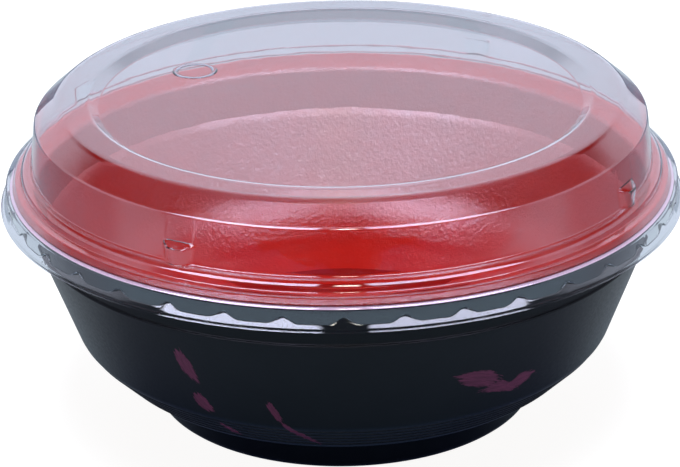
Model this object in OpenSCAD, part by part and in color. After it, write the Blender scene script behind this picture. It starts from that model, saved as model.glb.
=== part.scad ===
// Takeaway bowl with a clear snap-on lid. Millimetres, +Z up, origin at the middle of the foot on the table.

/* [Laminate] */
// Thickness of the black outer skin
skin_t = 0.4; // [0.3:0.05:0.8]
// Thickness of the foam sheet between the skins
foam_t = 1.1; // [0.6:0.05:1.6]
// Thickness of the red film inside
film_t = 0.2; // [0.15:0.05:0.4]
// Bond line between one layer and the next
bond_gap = 0.02; // [0.01:0.01:0.05]

/* [Foot] */
// Diameter of the foot at the table, before its edge is rounded
foot_d = 96.8; // [80:0.1:106]
// Height of the foot
foot_h = 8.6; // [5:0.1:10]
// How far the foot widens on each side from bottom to top
foot_draft = 1.2; // [0:0.1:3]
// Width of the ring that the bowl stands on, before its edges are rounded
foot_ring_w = 8; // [6:0.1:14]
// How far the middle of the underside is raised
base_rise = 2; // [1:0.1:4]
// Rounding of the foot's lower edges
foot_round = 2.2; // [2:0.1:3]

/* [Bowl wall] */
// Diameter of the lower edge of the sloping band
hip_d = 116.6; // [110:0.1:122]
// Height of the lower edge of the sloping band
hip_z = 11.3; // [10.5:0.1:14]
// Diameter of the knee, where the sloping band meets the wall
knee_d = 135.3; // [130:0.1:142]
// Height of the knee
knee_z = 20.7; // [17:0.1:25]
// Rounding of the knee
knee_round = 4.5; // [3:0.1:8]
// Number of fine ribs round the sloping band
rib_count = 5; // [3:1:7]
// How far a rib stands out of the band
rib_h = 0.2; // [0.1:0.05:0.4]
// Width of a rib
rib_w = 0.7; // [0.4:0.05:1.2]
// Diameter of the wall at the ledge
ledge_d = 154.2; // [148:0.1:158]
// Height of the ledge
ledge_z = 46.7; // [40:0.1:50]
// Width of the ledge, where the neck steps in
ledge_w = 0.6; // [0.3:0.1:1]

/* [Rim] */
// Diameter of the rim at its lower outer edge
rim_d = 165; // [162:0.1:170]
// Height of the rim's lower outer edge
rim_z = 58.05; // [55:0.05:64]
// Length of the sloping rim, from the neck to its outer edge
rim_w = 5.1; // [4:0.1:6]
// Rise of the rim towards its outer edge, in degrees
rim_angle = 20; // [10:1:30]

/* [Lid] */
// Thickness of the clear sheet
lid_t = 0.35; // [0.25:0.05:0.5]
// Gap between the rim's top edge and the brim that sits over it
seat_gap = 0.3; // [0.25:0.05:0.6]
// Gap between the rim's outer edge and the skirt
skirt_gap = 0.75; // [0.6:0.05:1.2]
// Fall of the brim towards the skirt, in degrees
brim_angle = 38; // [20:1:42]
// Width of the brim's sloping outer part
brim_w = 2.3; // [2:0.05:3]
// Width of the brim's flatter inner part
brim_flat_w = 1.55; // [1.2:0.05:2.5]
// Rise of the flatter part towards the riser
brim_flat_rise = 0.35; // [0.1:0.05:0.6]
// Height of the riser inside the brim
riser_h = 2.52; // [1.8:0.02:3]
// Width of the shelf between the riser and the wall
shelf_w = 2.25; // [2:0.05:3]
// Rise of that shelf towards the wall
shelf_rise = 0.15; // [0.1:0.05:0.6]
// Height of the steep wall
wall_h = 11.1; // [8.5:0.1:16]
// How far the wall leans in over its height
wall_lean = 1.5; // [0.5:0.1:4]
// Width of the bevel round the top
bevel_w = 5.8; // [3:0.1:9]
// Height of the bevel round the top
bevel_h = 4.9; // [3:0.1:9]
// Rounding where the bevel meets the top
crown_round = 3.5; // [2:0.1:6]
// Diameter of the sunk top panel
panel_d = 119.4; // [80:0.1:126]
// How far the top panel is sunk
panel_sink = 2; // [0.5:0.1:2.5]
// Height of the skirt below the brim
skirt_h = 3.9; // [3.6:0.1:7]
// Width of the lip that flares out of the skirt
lip_w = 1.4; // [1:0.1:3]
// Fall of the lip from the skirt to its edge
lip_fall = 1; // [0.5:0.1:2]

/* [Snap dents and stacking lugs] */
// Number of snap dents round the skirt
dent_count = 38; // [24:1:44]
// Half width of one dent's arch
dent_r = 2.4; // [2:0.1:2.5]
// Height of a dent's floor above the skirt's foot
dent_floor = 0.9; // [0.8:0.05:1.2]
// How far a dent is pressed in
dent_depth = 0.4; // [0.2:0.05:0.45]
// Number of stacking lugs on the wall
lug_count = 4; // [3:1:8]
// Direction of the first lug from +X, in degrees
lug_start = 241; // [0:1:360]
// Width of a lug across the wall at its top edge
lug_w = 7.8; // [6:0.1:12]
// How much narrower a lug is across the wall's foot
lug_taper = 1.4; // [0:0.1:3]
// How far a lug stands out of the wall at its top edge
lug_depth = 2.2; // [1.5:0.1:2.6]
// Height of a lug's top edge above the wall's foot
lug_h = 3.8; // [3:0.1:5]
// Slope of a lug's top, in degrees
lug_slope = 22; // [10:1:60]

/* [Hidden] */
$fn = 96;
arc_steps = 6;
arc_share = 0.45;
least_round = 0.3;
dent_sides = 32;
foot_neck_round = 1.5;
hip_round = 2.4;
ledge_rise = 0.3;
ledge_round = 0.4;
rim_root_round = 1;
riser_lean = 7;
panel_ring_w = 2.7;
panel_ring_round = 0.6;
lid_shoulder_round = 0.8;
lid_foot_round = 0.5;
shelf_edge_round = 1.8;
brim_step_round = 0.45;
brim_crown_round = 0.6;
brim_edge_round = 1.2;
lip_root_round = 0.5;
cut_over = 1;

// Layers of the laminate, measured inwards from the black outer face
foam_from = skin_t + bond_gap;
film_from = foam_from + foam_t + bond_gap;
laminate_t = film_from + film_t;

// The bowl's black outer face, from the middle of the underside to the edge of the rim
rim_r = rim_d / 2;
rim_root = [rim_r - rim_w * cos(rim_angle), rim_z - rim_w * sin(rim_angle)];
bowl_corners = [
    [0, base_rise],
    [foot_d / 2 - foot_ring_w - base_rise, base_rise],
    [foot_d / 2 - foot_ring_w, 0],
    [foot_d / 2, 0],
    [foot_d / 2 + foot_draft, foot_h],
    [hip_d / 2, hip_z],
    [knee_d / 2, knee_z],
    [ledge_d / 2, ledge_z],
    [ledge_d / 2 - ledge_w, ledge_z + ledge_rise],
    rim_root,
    [rim_r, rim_z],
];
bowl_rounds = [
    0, foot_neck_round, foot_round, foot_round, foot_neck_round, hip_round,
    knee_round, ledge_round, ledge_round, rim_root_round, 0,
];

// The rim's top outer edge, which carries the lid, and the brim line that clears it
rim_top = [rim_r - laminate_t * sin(rim_angle), rim_z + laminate_t * cos(rim_angle)];
brim_reach = rim_top * [sin(brim_angle), cos(brim_angle)] + seat_gap + lid_t;
function brim_z(r) = (brim_reach - r * sin(brim_angle)) / cos(brim_angle);

// The lid's upper face, from the middle of the top to the edge of the lip
skirt_r = rim_r + skirt_gap + lid_t;
brim_crown = [skirt_r - brim_w, brim_z(skirt_r - brim_w)];
brim_in = brim_crown + [-brim_flat_w, brim_flat_rise];
shelf_edge = brim_in + [-riser_h * tan(riser_lean), riser_h];
wall_foot = shelf_edge + [-shelf_w, shelf_rise];
wall_top = wall_foot + [-wall_lean, wall_h];
lid_top = wall_top + [-bevel_w, bevel_h];
skirt_foot = [skirt_r, brim_z(skirt_r) - skirt_h];
lid_corners = [
    [0, lid_top[1] - panel_sink],
    [panel_d / 2, lid_top[1] - panel_sink],
    [panel_d / 2 + panel_ring_w, lid_top[1]],
    lid_top,
    wall_top,
    wall_foot,
    shelf_edge,
    brim_in,
    brim_crown,
    [skirt_r, brim_z(skirt_r)],
    skirt_foot,
    skirt_foot + [lip_w, -lip_fall],
];
lid_rounds = [
    0, panel_ring_round, panel_ring_round, crown_round, lid_shoulder_round, lid_foot_round,
    shelf_edge_round, brim_step_round, brim_crown_round, brim_edge_round, lip_root_round, 0,
];

function unit(v) = v / norm(v);
function left_of(a, b) = let (d = unit(b - a)) [-d[1], d[0]];
function last(list) = len(list) - 1;
function backwards(list) = [for (i = [last(list):-1:0]) list[i]];

// A row of corners moved sideways by d, to the left of its run
function moved(row, d) = [
    for (i = [0:last(row)])
        let (
            before = left_of(row[max(i - 1, 0)], row[max(i, 1)]),
            after = left_of(row[min(i, last(row) - 1)], row[min(i + 1, last(row))])
        )
        row[i] + d * (before + after) / (1 + before * after)
];

// The rounding of each corner once the row has moved
function moved_rounds(row, rounds, d) = [
    for (i = [0:last(row)])
        i == 0 || i == last(row) ? 0
        : cross(row[i] - row[i - 1], row[i + 1] - row[i]) > 0 ? max(rounds[i] - d, least_round)
        : max(rounds[i] + d, least_round)
];

// One corner b between a and c as an arc, kept within its two sides
function arc_at(a, b, c, round) =
    let (
        to_a = unit(a - b),
        to_c = unit(c - b),
        half = acos(to_a * to_c) / 2,
        reach = min(round / tan(half), arc_share * min(norm(a - b), norm(c - b))),
        centre = b + unit(to_a + to_c) * reach / cos(half),
        from = b + to_a * reach - centre,
        sweep = sign(cross(b - a, c - b)) * (180 - 2 * half)
    )
    [
        for (k = [0:arc_steps])
            let (angle = sweep * k / arc_steps)
            centre + [
                from[0] * cos(angle) - from[1] * sin(angle),
                from[0] * sin(angle) + from[1] * cos(angle),
            ]
    ];

function rounded(row, rounds) = [
    for (i = [0:last(row)])
        each (rounds[i] == 0 ? [row[i]] : arc_at(row[i - 1], row[i], row[i + 1], rounds[i]))
];

// Where the line through p along u crosses the line through q along v
function crossing(p, u, q, v) = p + u * cross(q - p, v) / cross(u, v);

// The sides of a row that still run the same way once it has moved
function sides_kept(row, now) = [
    for (i = [0:last(row) - 1])
        if ((now[i + 1] - now[i]) * (row[i + 1] - row[i]) > 0) i
];

// One face of a sheet at depth d: where a short side is used up, its two neighbours meet
function face(row, rounds, d) =
    let (
        now = moved(row, d),
        now_rounds = moved_rounds(row, rounds, d),
        kept = sides_kept(row, now),
        corners = [
            for (k = [1:last(kept)])
                let (i = kept[k - 1], j = kept[k])
                j == i + 1 ? now[j] : crossing(now[i], row[i + 1] - row[i], now[j], row[j + 1] - row[j])
        ]
    )
    rounded(
        [now[0], each corners, now[last(now)]],
        [0, for (k = [1:last(kept)]) now_rounds[kept[k]], 0]
    );

// A formed sheet: the layer between two faces at depths from and to
module formed_sheet(row, rounds, from, to) {
    rotate_extrude()
        polygon(concat(face(row, rounds, from), backwards(face(row, rounds, to))));
}

// Fine half-round ribs on the sloping band between the foot and the knee
module ribs() {
    band_from = [hip_d / 2, hip_z];
    band_to = [knee_d / 2, knee_z];
    half = unit(band_to - band_from) * rib_w / 2;
    outward = -left_of(band_from, band_to);
    for (k = [1:rib_count])
        let (
            place = band_from + (band_to - band_from) * k / (rib_count + 1),
            root = place - outward * skin_t / 2
        )
            rotate_extrude()
                polygon([
                    root - half,
                    for (j = [0:arc_steps])
                        let (angle = 180 * j / arc_steps)
                        place - half * cos(angle) + outward * rib_h * sin(angle),
                    root + half,
                ]);
}

module outer_skin() {
    color("#14181f") {
        formed_sheet(bowl_corners, bowl_rounds, 0, skin_t);
        ribs();
    }
}

module foam_core() {
    color("#e6dbe8")
        formed_sheet(bowl_corners, bowl_rounds, foam_from, foam_from + foam_t);
}

module red_lining() {
    color("#b51a0a")
        formed_sheet(bowl_corners, bowl_rounds, film_from, laminate_t);
}

// A stacking lug as a tapered round post with a sloped top, drawn in by inset on every side
module lug_post(inset) {
    wall_r = wall_foot[0] - lug_h * wall_lean / wall_h;
    top_r = (pow(lug_w / 2, 2) + pow(lug_depth, 2)) / (2 * lug_depth);
    axis_r = wall_r + lug_depth - top_r;
    foot_r = norm([wall_foot[0] - axis_r, (lug_w - lug_taper) / 2]);
    widening = (top_r - foot_r) / lug_h;
    from_z = shelf_edge[1] - 2 * inset;
    to_z = wall_foot[1] + lug_h + lug_depth;
    difference() {
        translate([axis_r, 0, from_z])
            cylinder(
                h = to_z - from_z,
                r1 = foot_r - inset - (wall_foot[1] - from_z) * widening,
                r2 = foot_r - inset + (to_z - wall_foot[1]) * widening
            );
        translate([axis_r + top_r, 0, wall_foot[1] + lug_h - inset / cos(lug_slope)])
            rotate([0, lug_slope, 0])
                translate([-2 * lug_w, -lug_w, 0])
                    cube([4 * lug_w, 2 * lug_w, 2 * lug_w]);
    }
}

module at_each_lug() {
    for (k = [0:lug_count - 1])
        rotate([0, 0, lug_start + 360 * k / lug_count])
            children();
}

// The space outside the middle of the steep wall, where the lugs stand
module outside_wall() {
    half = [lid_t / 2, 0];
    lean = wall_top - wall_foot;
    rotate_extrude()
        polygon([
            wall_foot - half - lean,
            wall_top - half,
            [skirt_r, wall_top[1]],
            [skirt_r, wall_foot[1] - lean[1]],
        ]);
}

module lugs() {
    intersection() {
        at_each_lug() lug_post(0);
        outside_wall();
    }
}

// Bars that point outwards from radius from_r, one for each snap dent
module dent_bars(from_r, bar_r) {
    for (k = [0:dent_count - 1])
        rotate([0, 0, 270 + 360 * k / dent_count])
            translate([from_r, 0, skirt_foot[1]])
                rotate([0, 90, 0])
                    cylinder(h = dent_depth + lid_t + 2 * cut_over, r = bar_r, $fn = dent_sides);
}

// A ring above height from_z, out to radius to_r, which keeps the upper part of the bars
module above(from_z, to_r) {
    in_r = skirt_r - 2 * dent_depth - lid_t;
    rotate_extrude()
        translate([in_r, from_z])
            square([to_r - in_r, 2 * dent_r]);
}

module dent_walls() {
    intersection() {
        dent_bars(skirt_r - lid_t - dent_depth, dent_r + lid_t);
        above(skirt_foot[1] + dent_floor - lid_t, skirt_r - lid_t / 2);
    }
}

module dent_hollows() {
    intersection() {
        dent_bars(skirt_r - dent_depth, dent_r);
        above(skirt_foot[1] + dent_floor, skirt_r + cut_over);
    }
}

module lid() {
    color([0.86, 0.9, 0.94, 0.4])
        difference() {
            union() {
                formed_sheet(lid_corners, lid_rounds, 0, -lid_t);
                lugs();
                dent_walls();
            }
            at_each_lug() lug_post(lid_t);
            dent_hollows();
        }
}

outer_skin();
foam_core();
red_lining();
lid();
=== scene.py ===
"""Looks of a takeaway bowl: a laminated bowl, black outside and red inside, under a clear snap-on lid."""
import math

import bpy
from mathutils import Matrix, Vector


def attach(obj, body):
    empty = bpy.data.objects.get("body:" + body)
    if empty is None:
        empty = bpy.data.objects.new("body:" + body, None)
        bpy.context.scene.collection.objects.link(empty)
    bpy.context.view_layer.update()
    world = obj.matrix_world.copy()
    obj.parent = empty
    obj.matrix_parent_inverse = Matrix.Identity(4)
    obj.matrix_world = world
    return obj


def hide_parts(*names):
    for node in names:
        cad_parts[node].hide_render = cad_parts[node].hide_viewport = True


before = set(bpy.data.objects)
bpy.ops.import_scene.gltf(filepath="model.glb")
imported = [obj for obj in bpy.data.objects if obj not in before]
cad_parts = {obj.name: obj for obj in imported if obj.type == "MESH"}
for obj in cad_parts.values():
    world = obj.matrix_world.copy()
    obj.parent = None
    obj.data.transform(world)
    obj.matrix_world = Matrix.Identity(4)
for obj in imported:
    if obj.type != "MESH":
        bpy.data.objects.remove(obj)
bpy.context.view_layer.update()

MM = 0.001

# Layers of the bowl's laminate, in millimetres inwards from the black outer face
SKIN = (0, 0.4)
FOAM = (0.42, 1.52)
FILM = (1.54, 1.74)

# The bowl's outer face, in millimetres
FOOT_R = 48.4
FOOT_H = 8.6
FOOT_DRAFT = 1.2
FOOT_RING_W = 8
BASE_RISE = 2
HIP_R = 58.3
HIP_Z = 11.3
KNEE_R = 67.65
KNEE_Z = 20.7
LEDGE_R = 77.1
LEDGE_Z = 46.7
LEDGE_W = 0.6
LEDGE_RISE = 0.3
RIM_R = 82.5
RIM_Z = 58.05
RIM_W = 5.1
RIM_ANGLE = math.radians(20)
RIB_COUNT = 5
RIB_H = 0.2
RIB_HALF_W = 0.35
BASE_ROUND = 1.5
FOOT_ROUND = 2.2
STEP_ROUND = 1.5
HIP_ROUND = 2.4
KNEE_ROUND = 4.5
LEDGE_ROUND = 0.4
RIM_ROOT_ROUND = 1

# The red film inside the bowl, with a crisp step above the foot. It is rounder than the black face at its hip, its
# knee and the seat under its neck, and its rim is puffed up to a crown. In millimetres
FILM_STEP_ROUND = 0
FILM_HIP_ROUND = 15
FILM_KNEE_ROUND = 25
FILM_SEAT_R = 74.1
FILM_SEAT_Z = 45.3
FILM_SEAT_ROUND = 9
FILM_NECK_R = 74.8
FILM_NECK_Z = 46.4
FILM_NECK_ROUND = 0.6
FILM_CROWN_R = 80.3
FILM_CROWN_Z = 60.75
FILM_CROWN_ROUND = 1.2
FILM_BROW_R = 81.05
FILM_BROW_Z = 60.3
FILM_BROW_ROUND = 0.8
FILM_CHIN_R = 81.68
FILM_CHIN_Z = 59.35
FILM_CHIN_ROUND = 0.4
FILM_END_R = 81.75
FILM_END_Z = 59

# The lid, in millimetres
LID_T = 0.35
SEAT_GAP = 0.3
SKIRT_GAP = 0.75
BRIM_ANGLE = math.radians(38)
BRIM_W = 2.3
BRIM_FLAT_W = 1.55
BRIM_FLAT_RISE = 0.35
RISER_H = 2.52
RISER_LEAN = math.radians(7)
SHELF_W = 2.25
SHELF_RISE = 0.15
WALL_H = 11.1
WALL_LEAN = 1.5
BEVEL_W = 5.8
BEVEL_H = 4.9
PANEL_R = 59.7
PANEL_SINK = 2
PANEL_RING_W = 2.7
SKIRT_H = 3.9
FLARE_W = 0.6
FLARE_FALL = 0.8
LIP_FLAT_W = 0.55
LIP_FLAT_FALL = 0.15
LIP_CURL_W = 0.25
LIP_CURL_FALL = 0.35
PANEL_ROUND = 0.5
PANEL_RING_ROUND = 2.4
TOP_ROUND = 3.5
WALL_TOP_ROUND = 1.3
WALL_FOOT_ROUND = 0.45
SHELF_ROUND = 1.8
BRIM_IN_ROUND = 0.4
BRIM_CROWN_ROUND = 0.6
BRIM_EDGE_ROUND = 1.2
SKIRT_ROUND = 0.3
FLARE_ROUND = 0.25
LIP_ROUND = 0.2

# Snap dents and stacking lugs of the lid, and the plain ring bead on its top, in millimetres
DENT_COUNT = 38
DENT_HALF_W = 1.9
DENT_H = 1.7
DENT_DEPTH = 1.2
LUG_COUNT = 4
LUG_START = math.radians(241)
LUG_W = 7.8
LUG_TAPER = 1.4
LUG_DEPTH = 2.2
LUG_H = 3.8
LUG_SLOPE = math.radians(22)
LUG_SOFT = 0.9
BEAD_X = -36.9
BEAD_Y = 20.5
BEAD_R = 5
BEAD_HALF_W = 0.75
BEAD_H = 0.22
BEAD_SINK = 0.05

# Steps round the axis. A share of the lid's steps stands close together, within an angle on each side of a lug
BOWL_STEPS = 320
LID_STEPS = 720
LUG_SHARE = 0.16
LUG_SPAN = math.radians(4.2)
BEAD_STEPS = 64
CREASE = math.radians(40)
MERGE_GAP = 2e-6

# Stations along a sheet's profile: on an arc, on a rib and on the bead, and in rows on the lid's wall, skirt and
# flare
TURN_PER_STATION = math.radians(18)
STATION_GAP = 2
LEAST_ARC_STEPS = 2
RIB_STEPS = 4
BEAD_ARCH_STEPS = 8
WALL_ROWS = 12
WALL_ROWS_FROM = 0.5
WALL_ROWS_TO = 0.93
SKIRT_ROWS = 2
SKIRT_ROWS_FROM = 0.2
SKIRT_ROWS_TO = 0.9
FLARE_ROWS = 2
FLARE_ROWS_FROM = 0.2

# The camera: its distance in metres to the point it looks at, its angles and its lens
VIEW_DISTANCE = 0.6782
VIEW_ELEVATION = math.radians(23.47)
VIEW_ROLL = math.radians(-0.901)
VIEW_TARGET_Z = 0.0412
LENS = 142.08
SENSOR_W = 36
SHIFT_X = -0.00385


class Field:
    """A number in a node tree. Arithmetic on it adds Math nodes to that tree."""

    def __init__(self, socket):
        self.socket = socket

    def math(self, operation, *others):
        tree = self.socket.id_data
        node = tree.nodes.new("ShaderNodeMath")
        node.operation = operation
        for target, value in zip(node.inputs, (self, *others)):
            put(target, value)
        return Field(node.outputs[0])

    def __add__(self, other):
        return self.math("ADD", other)

    def __sub__(self, other):
        return self.math("SUBTRACT", other)

    def __mul__(self, other):
        return self.math("MULTIPLY", other)

    def __truediv__(self, other):
        return self.math("DIVIDE", other)

    def __pow__(self, other):
        return self.math("POWER", other)


def put(target, value):
    """Links a field or a socket to a node's input, or sets the input to a plain value."""
    if isinstance(value, Field):
        value = value.socket
    if isinstance(value, bpy.types.NodeSocket):
        target.id_data.links.new(value, target)
    else:
        target.default_value = value


def add_node(tree, kind, settings=None, **inputs):
    """Adds a node, sets its own settings, and puts values into the inputs named with _ for a space."""
    node = tree.nodes.new(kind)
    for name, value in (settings or {}).items():
        setattr(node, name, value)
    for name, value in inputs.items():
        put(node.inputs[name.replace("_", " ")], value)
    return node


def separated(tree, vector):
    """The three parts of a vector, as fields."""
    node = add_node(tree, "ShaderNodeSeparateXYZ", Vector=vector)
    return [Field(socket) for socket in node.outputs]


# The tightest rounding that a shifted corner keeps, in millimetres, and the share of a side that counts as its arc
LEAST_ROUNDING = 0.3
ARC_SHARE = 0.1


def left_of(a, b):
    """The unit vector to the left of the run from a to b."""
    run = (b - a).normalized()
    return Vector((-run.y, run.x))


def shifted(corners, depth):
    """A row of corners (radius, height, rounding) moved sideways by depth, to the left of its run."""
    row = [Vector(corner[:2]) for corner in corners]
    result = []
    for i, (corner, (_, _, rounding)) in enumerate(zip(row, corners)):
        before = left_of(row[max(i - 1, 0)], row[max(i, 1)])
        after = left_of(row[min(i, len(row) - 2)], row[min(i + 1, len(row) - 1)])
        place = corner + (before + after) * depth / (1 + before.dot(after))
        turn = math.copysign(1, before.cross(after))
        if rounding:
            rounding = max(rounding - depth * turn, LEAST_ROUNDING)
        result.append((*place, rounding))
    return result


def arc_points(before, corner, after, rounding):
    """One corner as an arc, with a point for each small turn."""
    to_before = (before - corner).normalized()
    to_after = (after - corner).normalized()
    half = to_before.angle(to_after) / 2
    turn = math.pi - 2 * half
    reach = rounding / math.tan(half)
    centre = corner + (to_before + to_after).normalized() * reach / math.cos(half)
    first = corner + to_before * reach - centre
    side = math.copysign(1, (corner - before).cross(after - corner))
    by_turn = math.ceil(turn / TURN_PER_STATION)
    by_length = math.ceil(turn * rounding / STATION_GAP)
    steps = max(LEAST_ARC_STEPS, by_turn, by_length)
    return [
        centre + Matrix.Rotation(side * turn * k / steps, 2) @ first
        for k in range(steps + 1)
    ]


def face(corners, depth, fill=None):
    """The stations of one face of a sheet, each as its point and its place along the row of corners.

    corners holds (radius, height, rounding), and fill holds points to add to the side after a corner, as (share of
    the side, bulge to the right).
    """
    now = shifted(corners, depth)
    row = [Vector(corner[:2]) for corner in now]
    stations = [(row[0], 0)]
    for i in range(1, len(row)):
        for share, bulge in (fill or {}).get(i - 1, ()):
            point = row[i - 1].lerp(row[i], share) - left_of(row[i - 1], row[i]) * bulge
            stations.append((point, i - 1 + ARC_SHARE + share * (1 - 2 * ARC_SHARE)))
        if i == len(row) - 1:
            stations.append((row[i], i))
            break
        arc = arc_points(row[i - 1], row[i], row[i + 1], now[i][2])
        for k, point in enumerate(arc):
            stations.append((point, i + ARC_SHARE * (2 * k / (len(arc) - 1) - 1)))
    return stations


def even_fill(count, first=0, last=1):
    """Evenly spaced points between two shares of a side."""
    return [(first + (last - first) * (k + 1) / (count + 1), 0) for k in range(count)]


def ramp(place, *knots):
    """A value along the row of corners, straight between its knots (place, value)."""
    if place <= knots[0][0]:
        return knots[0][1]
    for (a, low), (b, high) in zip(knots, knots[1:]):
        if place <= b:
            return low + (high - low) * (place - a) / (b - a)
    return knots[-1][1]


rim_root = (RIM_R - RIM_W * math.cos(RIM_ANGLE), RIM_Z - RIM_W * math.sin(RIM_ANGLE))
BOWL_CORNERS = [
    (0, BASE_RISE, 0),
    (FOOT_R - FOOT_RING_W - BASE_RISE, BASE_RISE, BASE_ROUND),
    (FOOT_R - FOOT_RING_W, 0, FOOT_ROUND),
    (FOOT_R, 0, FOOT_ROUND),
    (FOOT_R + FOOT_DRAFT, FOOT_H, STEP_ROUND),
    (HIP_R, HIP_Z, HIP_ROUND),
    (KNEE_R, KNEE_Z, KNEE_ROUND),
    (LEDGE_R, LEDGE_Z, LEDGE_ROUND),
    (LEDGE_R - LEDGE_W, LEDGE_Z + LEDGE_RISE, LEDGE_ROUND),
    (*rim_root, RIM_ROOT_ROUND),
    (RIM_R, RIM_Z, 0),
]
# Places of corners in the bowl's row
STEP, HIP, KNEE, RIM_ROOT = 4, 5, 6, 9
film_corners = shifted(BOWL_CORNERS, FILM[1])
INSIDE_CORNERS = film_corners[:STEP] + [
    (*film_corners[STEP][:2], FILM_STEP_ROUND),
    (*film_corners[HIP][:2], FILM_HIP_ROUND),
    (*film_corners[KNEE][:2], FILM_KNEE_ROUND),
    (FILM_SEAT_R, FILM_SEAT_Z, FILM_SEAT_ROUND),
    (FILM_NECK_R, FILM_NECK_Z, FILM_NECK_ROUND),
    film_corners[RIM_ROOT],
    (FILM_CROWN_R, FILM_CROWN_Z, FILM_CROWN_ROUND),
    (FILM_BROW_R, FILM_BROW_Z, FILM_BROW_ROUND),
    (FILM_CHIN_R, FILM_CHIN_Z, FILM_CHIN_ROUND),
    (FILM_END_R, FILM_END_Z, 0),
]

rim_top = Vector((RIM_R - FILM[1] * math.sin(RIM_ANGLE), RIM_Z + FILM[1] * math.cos(RIM_ANGLE)))
brim_reach = rim_top.dot((math.sin(BRIM_ANGLE), math.cos(BRIM_ANGLE))) + SEAT_GAP + LID_T


def brim_z(r):
    """Height of the sloping brim's upper face."""
    return (brim_reach - r * math.sin(BRIM_ANGLE)) / math.cos(BRIM_ANGLE)


skirt_r = RIM_R + SKIRT_GAP + LID_T
skirt_foot = Vector((skirt_r, brim_z(skirt_r) - SKIRT_H))
flare_foot = skirt_foot + Vector((FLARE_W, -FLARE_FALL))
lip_crest = flare_foot + Vector((LIP_FLAT_W, -LIP_FLAT_FALL))
lip_edge = lip_crest + Vector((LIP_CURL_W, -LIP_CURL_FALL))
brim_crown = Vector((skirt_r - BRIM_W, brim_z(skirt_r - BRIM_W)))
brim_in = brim_crown + Vector((-BRIM_FLAT_W, BRIM_FLAT_RISE))
shelf_edge = brim_in + Vector((-RISER_H * math.tan(RISER_LEAN), RISER_H))
wall_foot = shelf_edge + Vector((-SHELF_W, SHELF_RISE))
wall_top = wall_foot + Vector((-WALL_LEAN, WALL_H))
lid_top = wall_top + Vector((-BEVEL_W, BEVEL_H))
panel_z = lid_top.y - PANEL_SINK
LID_CORNERS = [
    (0, panel_z, 0),
    (PANEL_R, panel_z, PANEL_ROUND),
    (PANEL_R + PANEL_RING_W, lid_top.y, PANEL_RING_ROUND),
    (*lid_top, TOP_ROUND),
    (*wall_top, WALL_TOP_ROUND),
    (*wall_foot, WALL_FOOT_ROUND),
    (*shelf_edge, SHELF_ROUND),
    (*brim_in, BRIM_IN_ROUND),
    (*brim_crown, BRIM_CROWN_ROUND),
    (skirt_r, brim_z(skirt_r), BRIM_EDGE_ROUND),
    (*skirt_foot, SKIRT_ROUND),
    (*flare_foot, FLARE_ROUND),
    (*lip_crest, LIP_ROUND),
    (*lip_edge, 0),
]
# Places of corners in the lid's row
WALL_TOP, SHELF_EDGE, BRIM_EDGE, SKIRT_FOOT, FLARE_FOOT = 4, 6, 9, 10, 11


def group_inputs(tree, **kinds):
    """Gives a geometry tree its named inputs and its one output, and returns its input node."""
    for name, kind in kinds.items():
        tree.interface.new_socket(name.replace("_", " "), in_out="INPUT", socket_type=kind)
    tree.interface.new_socket("Sheet", in_out="OUTPUT", socket_type="NodeSocketGeometry")
    return tree.nodes.new("NodeGroupInput")


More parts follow.
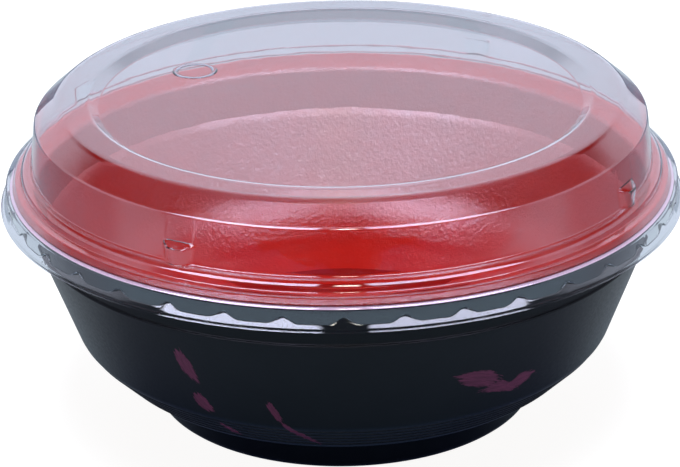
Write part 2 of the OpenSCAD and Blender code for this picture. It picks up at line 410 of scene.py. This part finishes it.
def formed_sheet_tree():
    """A tree that turns a row of stations round the axis, and presses dents and lugs into the sheet.

    Each station has the numbers that say how far the features move it: lift and press for the dents, wall for the
    lugs, and depth for how far it lies below the sheet's upper face.
    """
    tree = bpy.data.node_groups.new("formed_sheet", "GeometryNodeTree")
    real = "NodeSocketFloat"
    whole = "NodeSocketInt"
    given = group_inputs(
        tree, Profile="NodeSocketGeometry", Steps=whole, Material="NodeSocketMaterial",
        Dent_count=whole, Dent_half_width=real, Dent_height=real, Dent_depth=real,
        Lug_count=whole, Lug_start=real, Lug_share=real, Lug_span=real,
        Lug_axis=real, Lug_foot_radius=real, Lug_widening=real,
        Lug_foot_height=real, Lug_edge_radius=real, Lug_edge_height=real, Lug_slope=real, Lug_softness=real,
    )

    def value(name):
        return Field(given.outputs[name])

    profile = given.outputs["Profile"]
    size = add_node(tree, "GeometryNodeAttributeDomainSize", Geometry=profile)
    stations = Field(size.outputs["Point Count"])
    grid = add_node(
        tree, "GeometryNodeMeshGrid", Size_X=1.0, Size_Y=1.0, Vertices_X=stations, Vertices_Y=value("Steps") + 1,
    )
    position = add_node(tree, "GeometryNodeInputPosition").outputs[0]
    across, along, _ = separated(tree, position)
    index = ((across + 0.5) * (stations - 1) + 0.5).math("FLOOR")

    def sampled(field, kind):
        node = add_node(tree, "GeometryNodeSampleIndex", {"data_type": kind, "domain": "POINT"})
        for target, source in zip(node.inputs, (profile, field, index)):
            put(target, source)
        return node.outputs[0]

    def station(name):
        named = add_node(tree, "GeometryNodeInputNamedAttribute", {"data_type": "FLOAT"}, Name=name)
        return Field(sampled(named.outputs["Attribute"], "FLOAT"))

    def from_nearest(angle, count):
        """The angle from the nearest of count places that stand evenly round the axis."""
        places = count / math.tau
        return ((angle * places + 0.5).math("FRACT") - 0.5) / places

    r, _, z = separated(tree, sampled(position, "FLOAT_VECTOR"))
    lugs = value("Lug count")
    turns = (along + 0.5) * lugs
    sector = (turns + 0.5).math("FLOOR")
    off = turns - sector
    half_share = value("Lug share") * 0.5
    span = value("Lug span")
    near = off.math("ABSOLUTE").math("MINIMUM", half_share) * span / half_share
    outer = (off.math("ABSOLUTE") - half_share).math("MAXIMUM", 0)
    far = outer * (lugs ** -1 * math.pi - span) / (half_share * -1 + 0.5)
    swing = (near + far) * off.math("SIGN")
    angle = value("Lug start") + sector * math.tau / lugs + swing

    dent_x = from_nearest(angle + math.pi / 2, value("Dent count")) * r
    bell = ((dent_x / value("Dent half width")) ** 2 * -1).math("EXPONENT")
    dented_z = z + bell * value("Dent height") * station("lift")
    dented_r = r - bell * value("Dent depth") * station("press")

    axis = value("Lug axis")
    post = value("Lug foot radius") + (z - value("Lug foot height")) * value("Lug widening")
    chord = (post ** 2 - (axis * swing.math("SINE")) ** 2).math("MAXIMUM", 0)
    reach = axis * swing.math("COSINE") + chord.math("SQRT")
    top = value("Lug edge radius") - (z - value("Lug edge height")) / value("Lug slope").math("TANGENT")
    softness = value("Lug softness")
    upper_r = r + station("depth")
    lugged_r = upper_r.math("SMOOTH_MAX", reach.math("SMOOTH_MIN", top, softness), softness)
    sheet_r = dented_r + (lugged_r - upper_r) * station("wall")

    place = add_node(
        tree, "ShaderNodeCombineXYZ", X=sheet_r * angle.math("COSINE"), Y=sheet_r * angle.math("SINE"), Z=dented_z,
    )
    sheet = add_node(
        tree, "GeometryNodeSetPosition", Geometry=grid.outputs["Mesh"], Position=place.outputs[0],
    )
    closed = add_node(tree, "GeometryNodeMergeByDistance", Geometry=sheet.outputs[0], Distance=MERGE_GAP)
    smooth = add_node(tree, "GeometryNodeSetShadeSmooth", Geometry=closed.outputs[0])
    realized = add_node(tree, "GeometryNodeRealizeInstances", Geometry=smooth.outputs[0])
    finished = add_node(
        tree, "GeometryNodeSetMaterial", Geometry=realized.outputs[0], Material=given.outputs["Material"],
    )
    out = tree.nodes.new("NodeGroupOutput")
    put(out.inputs["Sheet"], finished.outputs[0])
    return tree


def profile_mesh(name, stations, features):
    """A row of stations in the XZ plane, in metres, with the numbers that the features need."""
    mesh = bpy.data.meshes.new(name)
    points = [(point.x * MM, 0, point.y * MM) for point, _ in stations]
    mesh.from_pydata(points, [(k, k + 1) for k in range(len(points) - 1)], [])
    for feature, values in features.items():
        layer = mesh.attributes.new(feature, "FLOAT", "POINT")
        layer.data.foreach_set("value", values)
    return mesh


def formed_sheet(name, tree, stations, material, features=None, **inputs):
    """A closed sheet as a plain mesh, turned from its stations by the tree."""
    piece = bpy.data.objects.new(name, profile_mesh(name, stations, features or {}))
    bpy.context.scene.collection.objects.link(piece)
    forming = piece.modifiers.new("forming", "NODES")
    forming.node_group = tree
    inputs["Material"] = material
    for item in tree.interface.items_tree:
        key = item.name.replace(" ", "_")
        if key in inputs:
            forming[item.identifier] = inputs[key]
    evaluated = piece.evaluated_get(bpy.context.evaluated_depsgraph_get())
    mesh = bpy.data.meshes.new_from_object(evaluated)
    piece.modifiers.remove(forming)
    profile = piece.data
    piece.data = mesh
    bpy.data.meshes.remove(profile)
    mesh.name = name
    mesh.materials.pop(index=0)
    mesh.set_sharp_from_angle(angle=CREASE)
    weighted = piece.modifiers.new("weighted_normals", "WEIGHTED_NORMAL")
    weighted.keep_sharp = True
    return piece


def settle(piece, body, slot, *nodes):
    """Rides a piece on its body and hides the solids that it stands for. Its slot is not used."""
    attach(piece, body)
    if nodes:
        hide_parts(*nodes)


def new_material(name):
    """An empty material with a Principled shader, and its object coordinates."""
    material = bpy.data.materials.new(name)
    material.use_nodes = True
    tree = material.node_tree
    shader = tree.nodes["Principled BSDF"]
    coordinates = tree.nodes.new("ShaderNodeTexCoord").outputs["Object"]
    return material, tree, shader, coordinates


def noise(tree, vector, size, detail=2.0, roughness=0.5):
    """Noise from 0 to 1 with features of about the given size in metres."""
    node = add_node(tree, "ShaderNodeTexNoise", Vector=vector, Scale=1 / size, Detail=detail, Roughness=roughness)
    return Field(node.outputs["Fac"])


def between(tree, field, low, high, from_low=0.3, from_high=0.7):
    """A field carried smoothly from one range to another."""
    node = add_node(
        tree, "ShaderNodeMapRange", {"interpolation_type": "SMOOTHSTEP"},
        Value=field, From_Min=from_low, From_Max=from_high, To_Min=low, To_Max=high,
    )
    return Field(node.outputs["Result"])


# The Mix node's sockets for colours
MIX_FACTOR, MIX_FIRST, MIX_SECOND, MIX_RESULT = 0, 6, 7, 2


def blended(tree, field, first, second):
    """A colour between two colours."""
    node = add_node(tree, "ShaderNodeMix", {"data_type": "RGBA"})
    put(node.inputs[MIX_FACTOR], field)
    put(node.inputs[MIX_FIRST], first)
    put(node.inputs[MIX_SECOND], second)
    return node.outputs[MIX_RESULT]


def bumped(tree, shader, height, distance):
    """Gives a shader the relief of a height field."""
    bump = add_node(tree, "ShaderNodeBump", Height=height, Distance=distance, Strength=1.0)
    put(shader.inputs["Normal"], bump.outputs["Normal"])


# Colours of the finishes
BLACK = (0.0045, 0.0055, 0.0075, 1)
BLACK_PALE = (0.0060, 0.0070, 0.0095, 1)
MAROON = (0.27, 0.062, 0.135, 1)
FOAM_WALL = (0.95, 0.68, 0.86, 1)
FOAM_CELL = (0.80, 0.53, 0.71, 1)
RED = (0.54, 0.008, 0.001, 1)
RED_PALE = (0.59, 0.011, 0.002, 1)
CLEAR = (0.88, 0.90, 0.93, 1)
CLEAR_SHADE = (0.84, 0.86, 0.89, 1)

# Grain of the finishes and depth of their relief, in metres
BLACK_CLOUD = 0.012
BLACK_GRAIN = 0.0007
BLACK_PEEL = 0.0016
BLACK_PEEL_H = 0.00002
FOAM_CELL_W = 0.0004
FOAM_CELL_H = 0.00008
RED_CLOUD = 0.009
RED_STIPPLE = 0.0011
RED_STIPPLE_H = 0.0003
CLEAR_WAVE = 0.018
CLEAR_WAVE_H = 0.00012

# Gloss of the finishes: roughness, from least to most, and how strongly they mirror. The film's stipple is flatter
# inside the bowl than on its rim
BLACK_ROUGHNESS = (0.30, 0.38)
DAB_ROUGHNESS = 0.12
BLACK_SPECULAR = 0.15
FOAM_ROUGHNESS = 0.75
RED_ROUGHNESS = (0.14, 0.24)
RED_SPECULAR = 1.0
RED_IOR = 1.6
INSIDE_STIPPLE = 0.6
CLEAR_ROUGHNESS = 0.0
CLEAR_IOR = 1.65

# Brush dabs on the wall: azimuth from the front in degrees and height of both ends, half width and bend
BRUSH_DABS = [
    (-31.4, 40.4, -29.2, 31.4, 1.9, 0.4),
    (-30.4, 27.4, -27.4, 22.4, 1.9, 0.3),
    (-27.2, 18.0, -24.4, 13.2, 1.1, 0.2),
    (-14.9, 28.6, -12.6, 22.4, 1.0, 0.2),
    (-12.8, 22.2, -6.0, 13.2, 0.9, 0.3),
    (21.4, 34.0, 31.2, 29.6, 2.5, -0.6),
    (27.2, 28.8, 35.6, 26.2, 1.6, -0.8),
    (32.8, 26.6, 39.0, 29.0, 2.1, -0.4),
]
DAB_REPEATS = 3
DAB_RADIUS = 0.072

# The body of a dab, its ragged edge and its bristle hairs, in shares of its half length and half width
DAB_BODY = 1.1
DAB_FADE = 0.45
EDGE_GRAIN = 0.45
EDGE_ACROSS = 0.8
EDGE_DEPTH = 1.9
EDGE_SEED = 9
HAIR_GRAIN = 0.22
HAIR_ALONG = 0.35
HAIR_ACROSS = 1.6
HAIR_DEPTH = 1.8
HAIR_LEAST = 0.25
HAIR_SEED = 5
HAIR_COVER = 0.55


def brush_dab_group():
    """A mask for one dry brush dab on the round wall."""
    group = bpy.data.node_groups.new("brush_dab", "ShaderNodeTree")
    for name in ("Angle", "Height", "Centre angle", "Centre height", "Tilt", "Half length", "Half width", "Bend"):
        group.interface.new_socket(name, in_out="INPUT", socket_type="NodeSocketFloat")
    group.interface.new_socket("Mask", in_out="OUTPUT", socket_type="NodeSocketFloat")
    given = group.nodes.new("NodeGroupInput")

    def value(name):
        return Field(given.outputs[name])

    x = (value("Angle") - value("Centre angle")) * DAB_RADIUS
    y = value("Height") - value("Centre height")
    tilt = value("Tilt")
    along = (x * tilt.math("COSINE") + y * tilt.math("SINE")) / value("Half length")
    bent = y * tilt.math("COSINE") - x * tilt.math("SINE") - along ** 2 * value("Bend")
    across = bent / value("Half width")
    centre = value("Centre angle")
    edge_at = add_node(group, "ShaderNodeCombineXYZ", X=along, Y=across * EDGE_ACROSS, Z=centre * EDGE_SEED)
    edge = noise(group, edge_at.outputs[0], EDGE_GRAIN, detail=4.0, roughness=0.65)
    hair_at = add_node(
        group, "ShaderNodeCombineXYZ", X=along * HAIR_ALONG, Y=across * HAIR_ACROSS, Z=centre * HAIR_SEED,
    )
    hair = noise(group, hair_at.outputs[0], HAIR_GRAIN, detail=3.0, roughness=0.6)
    body = (along ** 2 + across ** 2) * -1 + DAB_BODY
    ragged = body + (edge - 0.5) * EDGE_DEPTH + (hair - 0.5) * (along ** 2 + HAIR_LEAST) * HAIR_DEPTH
    cover = between(group, ragged, 0.0, 1.0, 0.0, DAB_FADE) * between(group, hair, HAIR_COVER, 1.0)
    out = group.nodes.new("NodeGroupOutput")
    put(out.inputs["Mask"], cover)
    return group


def black_skin_material():
    """Satin black sheet with a few muted maroon brush dabs."""
    material, tree, shader, coordinates = new_material("black_skin")
    x, y, z = separated(tree, coordinates)
    angle = x.math("ARCTAN2", y * -1)
    group = brush_dab_group()
    mask = None
    for from_azimuth, from_height, to_azimuth, to_height, half_width, bend in BRUSH_DABS:
        run = Vector((math.radians(to_azimuth - from_azimuth) * DAB_RADIUS, (to_height - from_height) * MM))
        middle = math.radians(from_azimuth + to_azimuth) / 2
        for k in range(DAB_REPEATS):
            centre = math.remainder(middle + math.tau * k / DAB_REPEATS, math.tau)
            dab = add_node(
                tree, "ShaderNodeGroup", {"node_tree": group}, Angle=angle, Height=z, Centre_angle=centre,
                Centre_height=(from_height + to_height) / 2 * MM, Tilt=math.atan2(run.y, run.x),
                Half_length=run.length / 2, Half_width=half_width * MM, Bend=bend * MM,
            )
            one = Field(dab.outputs["Mask"])
            mask = one if mask is None else mask.math("MAXIMUM", one)
    cloud = noise(tree, coordinates, BLACK_CLOUD, detail=3.0)
    black = blended(tree, between(tree, cloud, 0.0, 1.0), BLACK, BLACK_PALE)
    put(shader.inputs["Base Color"], blended(tree, mask, black, MAROON))
    grain = noise(tree, coordinates, BLACK_GRAIN, detail=3.0)
    put(shader.inputs["Roughness"], between(tree, grain, *BLACK_ROUGHNESS) + mask * DAB_ROUGHNESS)
    shader.inputs["Specular IOR Level"].default_value = BLACK_SPECULAR
    peel = noise(tree, coordinates, BLACK_PEEL)
    bumped(tree, shader, peel, BLACK_PEEL_H)
    return material


def pale_foam_material():
    """Cut edge of a pale foam sheet, with fine cells."""
    material, tree, shader, coordinates = new_material("pale_foam")
    cells = add_node(tree, "ShaderNodeTexVoronoi", Vector=coordinates, Scale=1 / FOAM_CELL_W)
    size = Field(cells.outputs["Distance"])
    put(shader.inputs["Base Color"], blended(tree, size, FOAM_WALL, FOAM_CELL))
    shader.inputs["Roughness"].default_value = FOAM_ROUGHNESS
    bumped(tree, shader, size, FOAM_CELL_H)
    return material


def red_film_material():
    """Gloss red film with the fine stipple of the foam behind it, most of all on the rim."""
    material, tree, shader, coordinates = new_material("red_film")
    _, _, z = separated(tree, coordinates)
    cloud = noise(tree, coordinates, RED_CLOUD, detail=3.0)
    put(shader.inputs["Base Color"], blended(tree, between(tree, cloud, 0.0, 1.0), RED, RED_PALE))
    shader.inputs["IOR"].default_value = RED_IOR
    shader.inputs["Specular IOR Level"].default_value = RED_SPECULAR
    stipple = noise(tree, coordinates, RED_STIPPLE, detail=3.0, roughness=0.65)
    put(shader.inputs["Roughness"], between(tree, stipple, *RED_ROUGHNESS))
    on_rim = between(tree, z, INSIDE_STIPPLE, 1.0, rim_root[1] * MM, RIM_Z * MM)
    bumped(tree, shader, stipple * on_rim, RED_STIPPLE_H)
    return material


def clear_sheet_material():
    """Clear formed plastic sheet, faintly blue, with the slow waves that forming leaves. Lamp light passes it."""
    material, tree, shader, coordinates = new_material("clear_sheet")
    waves = noise(tree, coordinates, CLEAR_WAVE)
    shader.inputs["Base Color"].default_value = CLEAR
    shader.inputs["Transmission Weight"].default_value = 1.0
    shader.inputs["IOR"].default_value = CLEAR_IOR
    shader.inputs["Roughness"].default_value = CLEAR_ROUGHNESS
    bumped(tree, shader, waves, CLEAR_WAVE_H)
    through = add_node(tree, "ShaderNodeBsdfTransparent", Color=CLEAR_SHADE)
    shadow = add_node(tree, "ShaderNodeLightPath").outputs["Is Shadow Ray"]
    mix = add_node(tree, "ShaderNodeMixShader")
    put(mix.inputs[0], shadow)
    put(mix.inputs[1], shader.outputs[0])
    put(mix.inputs[2], through.outputs[0])
    put(tree.nodes["Material Output"].inputs["Surface"], mix.outputs[0])
    return material


def rib_fill():
    """The half-round ribs on the band, as points beside its straight line."""
    band = math.hypot(KNEE_R - HIP_R, KNEE_Z - HIP_Z)
    points = []
    for k in range(1, RIB_COUNT + 1):
        for j in range(-RIB_STEPS, RIB_STEPS + 1):
            swing = math.pi / 2 * j / RIB_STEPS
            points.append((
                k / (RIB_COUNT + 1) + RIB_HALF_W * math.sin(swing) / band,
                RIB_H * math.cos(swing),
            ))
    return points


# A turn with even steps and no lugs
PLAIN_TURN = {"Lug_count": 1, "Lug_share": 1.0, "Lug_span": math.pi}


def make_bowl(tree):
    """The bowl's three layers: the black skin with its ribs, the foam, and the red film."""
    def layer(name, stations, material):
        return formed_sheet(name, tree, stations, material, Steps=BOWL_STEPS, **PLAIN_TURN)

    skin_stations = face(BOWL_CORNERS, SKIN[1]) + face(BOWL_CORNERS, SKIN[0], {HIP: rib_fill()})[::-1]
    foam_stations = face(INSIDE_CORNERS, FOAM[1] - FILM[1]) + face(BOWL_CORNERS, FOAM[0])[::-1]
    film_stations = face(INSIDE_CORNERS, 0) + face(INSIDE_CORNERS, FILM[0] - FILM[1])[::-1]
    settle(layer("outer_skin_piece", skin_stations, black_skin_material()), "bowl", "black_skin", "outer_skin")
    settle(layer("foam_core_piece", foam_stations, pale_foam_material()), "bowl", "pale_foam", "foam_core")
    settle(layer("red_lining_piece", film_stations, red_film_material()), "bowl", "red_film", "red_lining")


def make_lid(tree, material):
    """The clear lid, with snap dents in its skirt and stacking lugs on its wall."""
    fill = {
        WALL_TOP: even_fill(WALL_ROWS, WALL_ROWS_FROM, WALL_ROWS_TO),
        BRIM_EDGE: even_fill(SKIRT_ROWS, SKIRT_ROWS_FROM, SKIRT_ROWS_TO),
        SKIRT_FOOT: even_fill(FLARE_ROWS, FLARE_ROWS_FROM),
    }
    upper = face(LID_CORNERS, 0, fill)
    lower = face(LID_CORNERS, -LID_T, fill)[::-1]
    stations = upper + lower
    places = [place for _, place in stations]
    dent_foot = (FLARE_FOOT - ARC_SHARE, 0)
    lift = ((BRIM_EDGE + ARC_SHARE, 0), (SKIRT_FOOT - ARC_SHARE, 1), (SKIRT_FOOT + ARC_SHARE, 1), dent_foot)
    press = ((SKIRT_FOOT - ARC_SHARE / 2, 0), (SKIRT_FOOT + ARC_SHARE / 2, 1), dent_foot)
    features = {
        "lift": [ramp(place, *lift) for place in places],
        "press": [ramp(place, *press) for place in places],
        "wall": [1 if WALL_TOP + ARC_SHARE < place < SHELF_EDGE + ARC_SHARE else 0 for place in places],
        "depth": [0] * len(upper) + [LID_T * MM] * len(lower),
    }
    wall_r = wall_foot.x - LUG_H * WALL_LEAN / WALL_H
    edge_round = ((LUG_W / 2) ** 2 + LUG_DEPTH ** 2) / (2 * LUG_DEPTH)
    axis_r = wall_r + LUG_DEPTH - edge_round
    foot_round = math.hypot(wall_foot.x - axis_r, (LUG_W - LUG_TAPER) / 2)
    lid = formed_sheet(
        "lid_piece", tree, stations, material, features, Steps=LID_STEPS,
        Dent_count=DENT_COUNT, Dent_half_width=DENT_HALF_W * MM,
        Dent_height=DENT_H * MM, Dent_depth=DENT_DEPTH * MM,
        Lug_count=LUG_COUNT, Lug_start=LUG_START, Lug_share=LUG_SHARE, Lug_span=LUG_SPAN,
        Lug_axis=axis_r * MM, Lug_foot_radius=foot_round * MM, Lug_widening=(edge_round - foot_round) / LUG_H,
        Lug_foot_height=wall_foot.y * MM, Lug_edge_radius=(axis_r + edge_round) * MM,
        Lug_edge_height=(wall_foot.y + LUG_H) * MM, Lug_slope=LUG_SLOPE, Lug_softness=LUG_SOFT * MM,
    )
    settle(lid, "lid", "clear_sheet", "lid")


def make_bead(tree, material):
    """A plain ring bead on the lid's top panel."""
    swings = [math.pi * k / BEAD_ARCH_STEPS for k in range(BEAD_ARCH_STEPS + 1)]
    arch = [
        Vector((BEAD_R - BEAD_HALF_W * math.cos(swing), BEAD_H * math.sin(swing) ** 2))
        for swing in swings
    ]
    stations = [(point, 0) for point in arch + arch[:1]]
    bead = formed_sheet("ring_bead_piece", tree, stations, material, Steps=BEAD_STEPS, **PLAIN_TURN)
    bead.data.transform(Matrix.Translation(Vector((BEAD_X, BEAD_Y, panel_z - BEAD_SINK)) * MM))
    settle(bead, "lid", "clear_sheet")


def make_camera():
    """The camera in front, looking down at the bowl."""
    data = bpy.data.cameras.new("camera")
    data.lens = LENS
    data.sensor_width = SENSOR_W
    data.shift_x = SHIFT_X
    camera = bpy.data.objects.new("camera", data)
    bpy.context.scene.collection.objects.link(camera)
    stand = Vector((0, -math.cos(VIEW_ELEVATION), math.sin(VIEW_ELEVATION))) * VIEW_DISTANCE
    turn = Matrix.Rotation(math.pi / 2 - VIEW_ELEVATION, 4, "X") @ Matrix.Rotation(VIEW_ROLL, 4, "Z")
    camera.matrix_world = Matrix.Translation(stand + Vector((0, 0, VIEW_TARGET_Z))) @ turn
    bpy.context.scene.camera = camera


# The floor in metres: its reach, the bounds in Y over which it turns pale, and those in Y or X over which the part in
# front of the object and the part behind it fade
FLOOR_HALF_W = 3
FLOOR_FRONT = -0.5
PALE_Y = (-0.45, -0.25)
FRONT_START_Y = (-0.3, -0.2)
FRONT_END_Y = (-0.12, -0.03)
BEHIND_Y = (-0.05, 0.0)
BEHIND_X = (0.15, 0.2)

# The floor's own colours, then what it shows to the camera, then what gloss and glass show of it
FLOOR_DARK = (0.04, 0.04, 0.05, 1)
FLOOR_PALE = (0.22, 0.235, 0.25, 1)
SEEN_FRONT = (1.1, 1.1, 1.1, 1)
SEEN_PALE = (0.94, 0.93, 0.92, 1)
MIRRORED_FRONT = (0.18, 0.31, 0.44, 1)
MIRRORED_BEHIND = (0.24, 0.30, 0.36, 1)
MIRRORED_ASIDE = (0.02, 0.03, 0.10, 1)


def make_floor():
    """A plain pale floor that shows as white and keeps the object's shadow."""
    mesh = bpy.data.meshes.new("floor")
    mesh.from_pydata([
        (-FLOOR_HALF_W, FLOOR_FRONT, 0),
        (FLOOR_HALF_W, FLOOR_FRONT, 0),
        (FLOOR_HALF_W, FLOOR_HALF_W, 0),
        (-FLOOR_HALF_W, FLOOR_HALF_W, 0),
    ], [], [(0, 1, 2, 3)])
    floor = bpy.data.objects.new("floor", mesh)
    bpy.context.scene.collection.objects.link(floor)
    material = bpy.data.materials.new("pale_floor")
    material.use_nodes = True
    tree = material.node_tree
    tree.nodes.remove(tree.nodes["Principled BSDF"])
    path = add_node(tree, "ShaderNodeLightPath")
    x, y, _ = separated(tree, tree.nodes.new("ShaderNodeTexCoord").outputs["Object"])
    pale = between(tree, y, 0.0, 1.0, *PALE_Y)
    diffuse = add_node(tree, "ShaderNodeBsdfDiffuse", Color=blended(tree, pale, FLOOR_DARK, FLOOR_PALE))
    behind = between(tree, y, 0.0, 1.0, *BEHIND_Y) * between(tree, x.math("ABSOLUTE"), 1.0, 0.0, *BEHIND_X)
    front = between(tree, y, 0.0, 1.0, *FRONT_START_Y) * between(tree, y, 1.0, 0.0, *FRONT_END_Y)
    aside = blended(tree, front, MIRRORED_ASIDE, MIRRORED_FRONT)
    mirrored = blended(tree, behind, aside, MIRRORED_BEHIND)
    white = blended(tree, pale, SEEN_FRONT, SEEN_PALE)
    shown = blended(tree, Field(path.outputs["Is Camera Ray"]), mirrored, white)
    diffuse_ray = Field(path.outputs["Is Diffuse Ray"])
    glow = add_node(tree, "ShaderNodeEmission", Color=shown, Strength=diffuse_ray * -1 + 1)
    both = add_node(tree, "ShaderNodeAddShader")
    put(both.inputs[0], diffuse.outputs[0])
    put(both.inputs[1], glow.outputs[0])
    put(tree.nodes["Material Output"].inputs["Surface"], both.outputs[0])
    mesh.materials.append(material)


# Front softboxes and the strip between them, as angles from the front and as the sine of the elevation
BOX_FROM = math.radians(9.5)
BOX_TO = math.radians(68)
STRIP_FROM = math.radians(-2.6)
STRIP_TO = math.radians(5.1)
BOX_LOW = 0.36
BOX_HIGH = 0.82
STRIP_HIGH = 0.62
BOX_EDGE = 0.03
BOX_LEFT = (6.0, 6.2, 7.8, 1)
BOX_RIGHT = (5.0, 5.1, 6.4, 1)
BOX_SIDES_X = (-0.1, 0.1)
STRIP = (12.0, 11.0, 9.5, 1)

# The backdrop and the dark ceiling, as bounds in the parts of a direction over which the backdrop fades
BACKDROP = (0.90, 0.94, 1.13, 1)
CEILING = (0.03, 0.03, 0.04, 1)
SEEN_WHITE = (1, 1, 1, 1)
BACKDROP_Y = (-0.5, -0.3)
BACKDROP_Z = (0.40, 0.60)
TALL_X = (0.3, 0.5)
TALL_Z = (0.55, 0.95)

# The overhead lamp, in metres and watts
LAMP_Y = -0.05
LAMP_Z = 1.05
LAMP_W = 0.6
LAMP_POWER = 16.5


def window(tree, field, low, high):
    """A mask that is 1 between two values, with soft edges."""
    rising = between(tree, field, 0.0, 1.0, low - BOX_EDGE, low + BOX_EDGE)
    return rising * between(tree, field, 1.0, 0.0, high - BOX_EDGE, high + BOX_EDGE)


def make_room():
    """A pale backdrop round the sides and back, a dark ceiling, and softboxes in front that gloss mirrors."""
    world = bpy.data.worlds.new("studio")
    world.use_nodes = True
    world.cycles.sampling_method = "NONE"
    tree = world.node_tree
    path = add_node(tree, "ShaderNodeLightPath")
    x, y, z = separated(tree, tree.nodes.new("ShaderNodeTexCoord").outputs["Generated"])
    behind = between(tree, y, 0.0, 1.0, *BACKDROP_Y)
    low = between(tree, z, 1.0, 0.0, *BACKDROP_Z)
    tall = between(tree, x.math("ABSOLUTE"), 1.0, 0.0, *TALL_X) * between(tree, z, 1.0, 0.0, *TALL_Z)
    room = blended(tree, behind * low.math("MAXIMUM", tall), CEILING, BACKDROP)
    gloss = Field(path.outputs["Diffuse Depth"]).math("LESS_THAN", 0.5)
    aside = x.math("ARCTAN2", y * -1)
    box = window(tree, aside.math("ABSOLUTE"), BOX_FROM, BOX_TO) * window(tree, z, BOX_LOW, BOX_HIGH) * gloss
    strip = window(tree, aside, STRIP_FROM, STRIP_TO) * window(tree, z, BOX_LOW, STRIP_HIGH) * gloss
    side = blended(tree, between(tree, x, 0.0, 1.0, *BOX_SIDES_X), BOX_LEFT, BOX_RIGHT)
    room = blended(tree, box, room, side)
    room = blended(tree, strip, room, STRIP)
    seen = Field(path.outputs["Is Camera Ray"])
    put(tree.nodes["Background"].inputs["Color"], blended(tree, seen, room, SEEN_WHITE))
    bpy.context.scene.world = world


def make_lamp():
    """One wide soft lamp overhead, which shines through the clear lid."""
    data = bpy.data.lights.new("overhead", "AREA")
    data.shape = "SQUARE"
    data.size = LAMP_W
    data.energy = LAMP_POWER
    lamp = bpy.data.objects.new("overhead", data)
    bpy.context.scene.collection.objects.link(lamp)
    lamp.matrix_world = Matrix.Translation((0, LAMP_Y, LAMP_Z))
    lamp.visible_transmission = False
    lamp.visible_glossy = False


bpy.context.scene.view_settings.view_transform = "Standard"
make_camera()
make_room()
make_lamp()
make_floor()
sheet_tree = formed_sheet_tree()
make_bowl(sheet_tree)
clear_sheet = clear_sheet_material()
make_lid(sheet_tree, clear_sheet)
make_bead(sheet_tree, clear_sheet)
